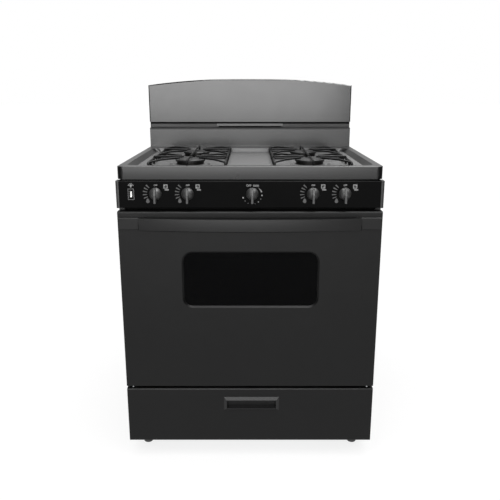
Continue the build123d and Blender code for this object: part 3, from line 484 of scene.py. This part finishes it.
def arc_band(cx, cz, r0, r1, a0, a1, n=14):
    """Part of a ring that widens from r0 to r1; angles run clockwise from twelve o'clock."""
    out, inn = [], []
    for i in range(n + 1):
        t = i / n
        a = a0 + (a1 - a0) * t
        rr = r0 + (r1 - r0) * t
        out.append((cx + rr * math.sin(a), cz + rr * math.cos(a)))
        inn.append((cx + r0 * 0.985 * math.sin(a), cz + r0 * 0.985 * math.cos(a)))
    return out + inn[::-1]


def word(text, cx, cz, size):
    cu = bpy.data.curves.new("text_" + text, "FONT")
    cu.body = text
    cu.size = size
    cu.align_x = "CENTER"
    cu.align_y = "CENTER"
    cu.extrude = 0.00008
    cu.offset = 0.00016
    tmp = bpy.data.objects.new("text_" + text, cu)
    scene.collection.objects.link(tmp)
    me = bpy.data.meshes.new_from_object(tmp.evaluated_get(bpy.context.evaluated_depsgraph_get()))
    me.transform(Matrix.Translation((cx, PANEL_Y - 0.00008, cz)) @ Matrix.Rotation(math.radians(90), 4, "X"))
    bpy.data.objects.remove(tmp)
    return me


KNOB_Z = 0.840
BURNER_KNOBS = {"left_rear": (-0.2675, (0, 1)), "left_front": (-0.1765, (0, 0)), "right_front": (0.1785, (1, 0)), "right_rear": (0.2690, (1, 1))}
for k, (kx, spot) in BURNER_KNOBS.items():
    marks = []
    for i, deg in enumerate((47, 63, 79, 95, 111)):
        a = math.radians(deg)
        marks.append(radial(kx, KNOB_Z, a, 0.0245, 0.0365, 0.0018, 0.0042 - 0.0003 * i))
    a = math.radians(132)
    fx, fz = kx - math.sin(a) * 0.031, KNOB_Z + math.cos(a) * 0.031
    drop = []
    for i in range(24):
        t = 2 * math.pi * i / 24
        rr = 0.0052 * (1.0 + 0.55 * max(0.0, math.cos(t)) ** 6)
        drop.append((fx + rr * math.sin(t) * (0.9 if math.cos(t) > 0 else 1.0), fz - 0.001 + rr * math.cos(t)))
    marks.append(drop)
    sign = []
    ix, iz = kx + 0.0285, KNOB_Z + 0.0205
    half = 0.0049
    for s in (-1, 1):
        sign.append(bar(ix + s * half, iz, 0.0018, 2 * half + 0.0018))
        sign.append(bar(ix, iz + s * half, 2 * half - 0.0018, 0.0018))
    for gx in (0, 1):
        for gz in (0, 1):
            sign.append(disc(ix + (gx - 0.5) * 0.0043, iz + (gz - 0.5) * 0.0043, 0.0017 if (gx, gz) == spot else 0.0009))
    sign.append(bar(ix + 0.003, iz - 0.0096, 0.0115, 0.0030))
    link("marks_" + k, print_marks("marks_" + k, marks, M_INK_DIM), M_INK_DIM, "range_body")
    link("sign_" + k, print_marks("sign_" + k, sign, M_INK), M_INK, "range_body")
    link("off_" + k, word("OFF", kx + 0.0005, KNOB_Z + 0.0238, 0.0060), M_INK, "range_body")

ox = 0.0064
oz = KNOB_Z - 0.0025
dial = [arc_band(ox, oz, 0.0258, 0.0292, math.radians(40), math.radians(76))]
for deg, r in ((95, 0.0020), (118, 0.0010), (141, 0.0015), (163, 0.0009), (205, 0.0009), (228, 0.0011), (250, 0.0023)):
    a = math.radians(deg)
    dial.append(disc(ox + 0.0275 * math.sin(a), oz + 0.0275 * math.cos(a), r))
link("marks_oven", print_marks("marks_oven", dial, M_INK), M_INK, "range_body")
link("off_oven", word("OFF", ox - 0.0100, KNOB_Z + 0.0228, 0.0084), M_INK, "range_body")
ticks = [bar(ox + 0.0035 + 0.0028 * i, KNOB_Z + 0.0228, 0.0014, 0.0060) for i in range(6)]
link("ticks_oven", print_marks("ticks_oven", ticks, M_INK), M_INK, "range_body")

sx, sz = -0.3372, 0.8385
lamp = [disc(sx, sz + 0.0248, 0.0032), bar(sx, sz + 0.0203, 0.0034, 0.0020)]
for deg in (-92, -62, -31, 0, 31, 62, 92):
    a = math.radians(deg)
    lamp.append(radial(sx, sz + 0.0248, a, 0.0043, 0.0083 if abs(deg) > 40 else 0.0068, 0.0013, 0.0013))
link("marks_light", print_marks("marks_light", lamp, M_INK), M_INK, "range_body")
edge = []
for s in (-1, 1):
    edge.append(bar(sx + s * 0.00815, sz, 0.0007, 0.0315))
    edge.append(bar(sx, sz + s * 0.0154, 0.0156, 0.0007))
link("switch_outline", print_marks("switch_outline", edge, M_INK, y=PANEL_Y - 0.0020), M_INK, "range_body")


# ------------------------------------------------------------------ printed border and dot screen behind the oven window
def window_print():
    bm = bmesh.new()
    y = Y_DOOR + 0.00935
    hw, hz, zc = 0.216, 0.1025, 0.5865
    iw, iz, ir = 0.172, 0.060, 0.020

    def loop(w, h, r, n=8):
        pts = []
        for qx, qz, a0 in ((1, 1, 0), (-1, 1, 90), (-1, -1, 180), (1, -1, 270)):
            for i in range(n + 1):
                a = math.radians(a0 + 90 * i / n)
                pts.append((qx * (w - r) + r * math.cos(a), zc + qz * (h - r) + r * math.sin(a)))
        return pts

    o, i = loop(hw, hz, 0.008), loop(iw, iz, ir)
    ov = [bm.verts.new((px, y, pz)) for px, pz in o]
    iv = [bm.verts.new((px, y, pz)) for px, pz in i]
    n = len(ov)
    for k in range(n):
        j = (k + 1) % n
        bm.faces.new((ov[k], ov[j], iv[j], iv[k]))
    px = -iw + 0.004
    row = 0
    while px < iw - 0.003:
        pz = zc - iz + 0.004 + (0.0026 if row % 2 else 0.0)
        while pz < zc + iz - 0.003:
            edge = min(iw - abs(px), iz - abs(pz - zc))
            r = 0.0019 if edge < 0.014 else 0.0013
            bm.faces.new([bm.verts.new((px + r * math.cos(t * math.pi / 4), y, pz + r * math.sin(t * math.pi / 4))) for t in range(8)])
            pz += 0.0052
        px += 0.0045
        row += 1
    me = bpy.data.meshes.new("window_print")
    bm.to_mesh(me)
    bm.free()
    return me


link("window_print", window_print(), M_FRIT, "oven_door")

# ------------------------------------------------------------------ floor, light
fm, fnt, fb = material("pale_floor")
fnt.links.new(ramp(fnt, noise(fnt, object_coords(fnt), 0.8, 3.0), [(0.3, (0.17, 0.17, 0.17)), (0.7, (0.19, 0.19, 0.19))]), fb.inputs["Base Color"])
fb.inputs["Roughness"].default_value = 0.75
fb.inputs["Emission Color"].default_value = (1.0, 1.0, 1.0, 1.0)
fb.inputs["Emission Strength"].default_value = 0.80
fb.inputs["Specular IOR Level"].default_value = 0.15
bm = bmesh.new()
bmesh.ops.create_grid(bm, x_segments=2, y_segments=2, size=40.0)
me = bpy.data.meshes.new("floor")
bm.to_mesh(me)
bm.free()
floor = bpy.data.objects.new("floor", me)
me.materials.append(fm)
scene.collection.objects.link(floor)

# the room: plain white as a backdrop, and a dim grey surround for lighting, darker towards the sides
world = bpy.data.worlds.new("studio")
scene.world = world
world.use_nodes = True
wt = world.node_tree
back = wt.nodes["Background"]
back.inputs["Color"].default_value = (1.0, 1.0, 1.0, 1.0)
back.inputs["Strength"].default_value = 1.0
room = wt.nodes.new("ShaderNodeBackground")
room.inputs["Strength"].default_value = 1.0
wc = wt.nodes.new("ShaderNodeTexCoord")
wsep = wt.nodes.new("ShaderNodeSeparateXYZ")
wt.links.new(wc.outputs["Generated"], wsep.inputs["Vector"])
wabs = wt.nodes.new("ShaderNodeMath")
wabs.operation = "ABSOLUTE"
wt.links.new(wsep.outputs["X"], wabs.inputs[0])
wcol = ramp(wt, wabs.outputs["Value"], [(0.25, (0.42, 0.42, 0.42)), (0.85, (0.16, 0.16, 0.16))])
wt.links.new(wcol, room.inputs["Color"])
wlp = wt.nodes.new("ShaderNodeLightPath")
wmix = wt.nodes.new("ShaderNodeMixShader")
wt.links.new(wlp.outputs["Is Camera Ray"], wmix.inputs["Fac"])
wt.links.new(room.outputs["Background"], wmix.inputs[1])
wt.links.new(back.outputs["Background"], wmix.inputs[2])
wt.links.new(wmix.outputs["Shader"], wt.nodes["World Output"].inputs["Surface"])


def softbox(name, loc, target, w, h, radiance):
    la = bpy.data.lights.new(name, "AREA")
    la.shape = "RECTANGLE"
    la.size = w
    la.size_y = h
    la.energy = radiance * math.pi * w * h
    o = bpy.data.objects.new(name, la)
    o.location = loc
    o.rotation_euler = (Vector(target) - Vector(loc)).to_track_quat("-Z", "Y").to_euler()
    scene.collection.objects.link(o)
    return o


def dark_flag(name, x, y0, y1, z1):
    """A black studio flag at one side, seen only in reflections."""
    bm = bmesh.new()
    vs = [bm.verts.new(c) for c in ((x, y0, 0.004), (x, y1, 0.004), (x, y1, z1), (x, y0, z1))]
    bm.faces.new(vs)
    fme = bpy.data.meshes.new(name)
    bm.to_mesh(fme)
    bm.free()
    o = bpy.data.objects.new(name, fme)
    fme.materials.append(M_FLAG)
    scene.collection.objects.link(o)
    o.visible_camera = False
    o.visible_shadow = False
    o.visible_diffuse = False


M_FLAG = woven("flag_cloth", (0.0012, 0.0012, 0.0012), (0.002, 0.002, 0.002), 60.0, 0.0005)
dark_flag("flag_left", -2.3, -2.4, 1.2, 1.25)
dark_flag("flag_right", 2.3, -2.4, 1.2, 1.25)

# a front bank, a panel overhead and a bright screen behind, seen only as reflections
bank = softbox("front_bank", (-0.32, -4.6, 2.02), (-0.32, 0.0, 2.02), 2.86, 2.56, 8.2)
bank.visible_diffuse = False
bank = softbox("top_box", (0.55, 0.45, 3.2), (0.2, 0.15, 0.3), 3.0, 2.2, 7.9)
bank.visible_diffuse = False
bank = softbox("fore_box", (0.0, -1.7, 3.6), (0.0, -0.5, 0.3), 3.2, 2.0, 4.5)
bank.visible_diffuse = False
bank = softbox("rear_screen", (0.6, 1.7, 2.35), (0.2, 0.0, 1.0), 3.4, 1.7, 1.1)
bank.visible_diffuse = False
bank.visible_camera = False
sun = bpy.data.lights.new("sky", "SUN")
sun.energy = 3.1
sun.angle = 1.3
sky = bpy.data.objects.new("sky", sun)
sky.rotation_euler = (math.radians(28), 0.0, 0.0)
sky.visible_glossy = False
scene.collection.objects.link(sky)
